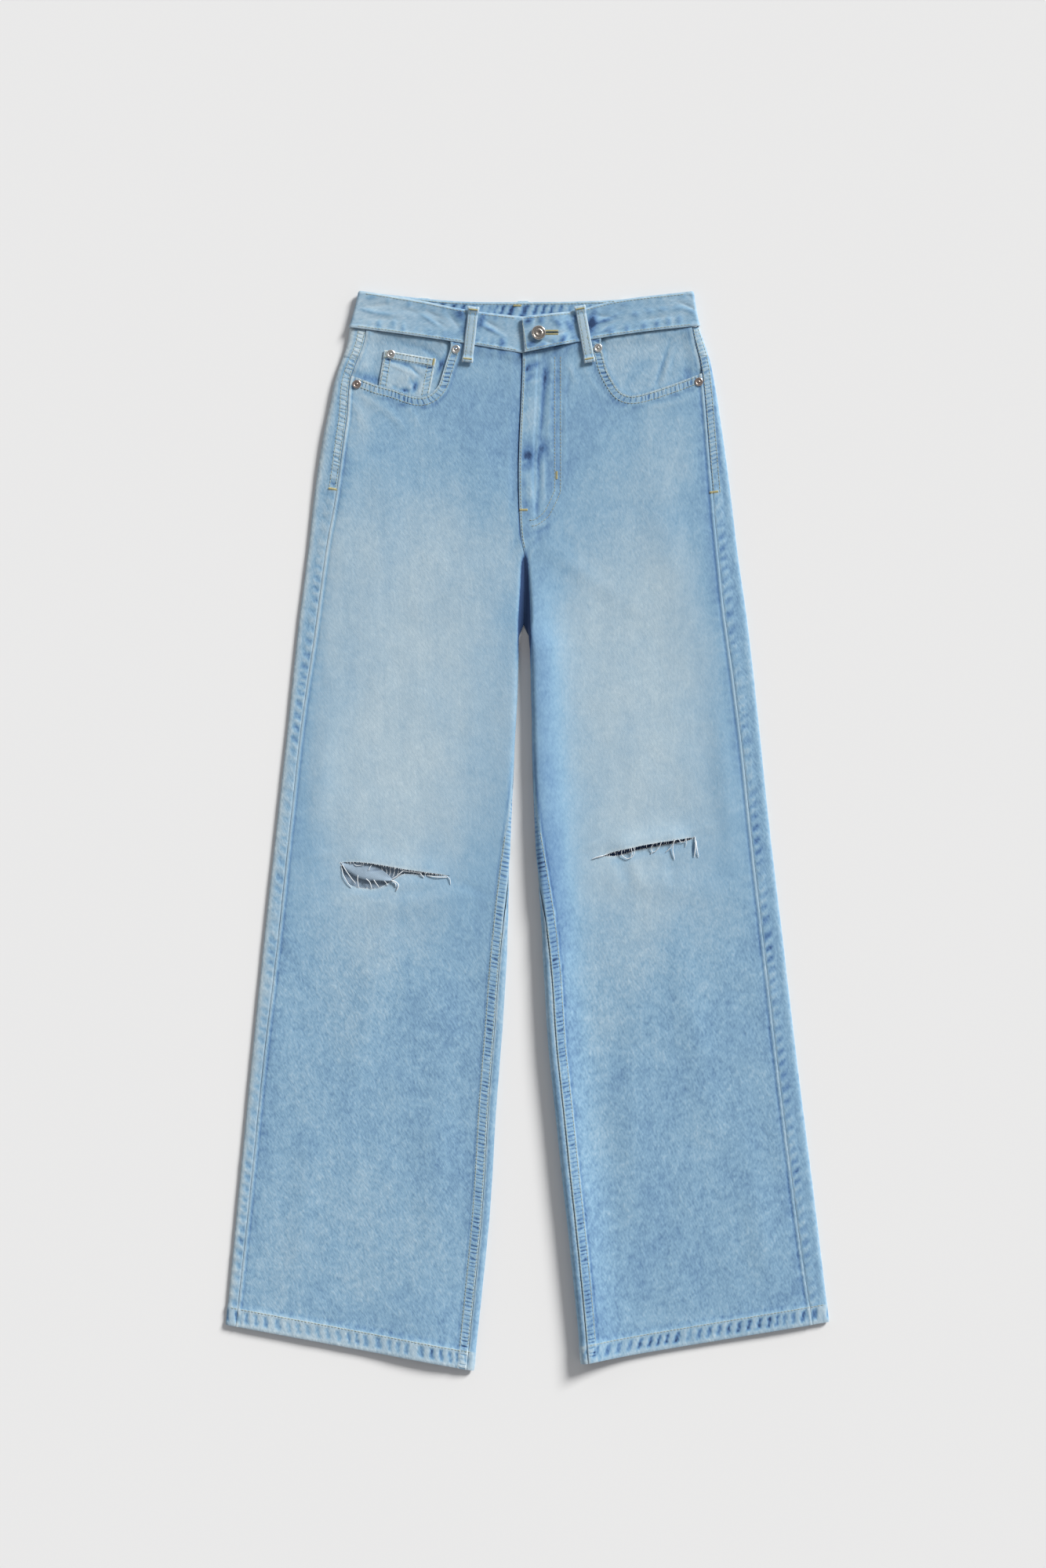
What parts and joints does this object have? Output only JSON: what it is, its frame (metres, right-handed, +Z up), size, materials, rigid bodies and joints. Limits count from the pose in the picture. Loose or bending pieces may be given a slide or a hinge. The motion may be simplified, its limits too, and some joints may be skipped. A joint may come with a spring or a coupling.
{
  "type": "ripped jeans",
  "caption": "High-rise wide-leg jeans in pale washed denim, torn across both knees, laid flat with the front up and the fly buttoned.",
  "frame": {"origin": "on the surface that the jeans lie on, under the middle of the whole garment", "axes": "+Z up out of the front of the garment, +Y towards the waist, +X towards the wearer's left leg"},
  "size_m": [0.6323, 1.1292, 0.0144],
  "materials": {
    "denim": "washed cotton twill, pale blue, faded on the thighs and along the seams",
    "zip_tape": "woven tape with closed metal teeth",
    "button_metal": "worn antique nickel with a dished face",
    "rivet_silver": "bright nickel, softly worn",
    "rivet_copper": "worn copper"
  },
  "bodies": {
    "root": {"front_right": "denim", "front_left": "denim", "back_right": "denim", "back_left": "denim", "yoke_right": "denim", "yoke_left": "denim", "pocket_facing_right": "denim", "pocket_facing_left": "denim", "back_pocket_right": "denim", "back_pocket_left": "denim", "coin_pocket": "denim", "fly_shield": "denim", "zip": "zip_tape", "waistband": "denim", "belt_loop_front_right": "denim", "belt_loop_front_left": "denim", "belt_loop_back_right": "denim", "belt_loop_back_left": "denim", "belt_loop_back_centre": "denim", "button": "button_metal", "rivet_coin_pocket": "rivet_silver", "rivet_pocket_right_top": "rivet_silver", "rivet_pocket_left_top": "rivet_silver", "rivet_pocket_right_side": "rivet_copper", "rivet_pocket_left_side": "rivet_copper"}
  },
  "joints": []
}
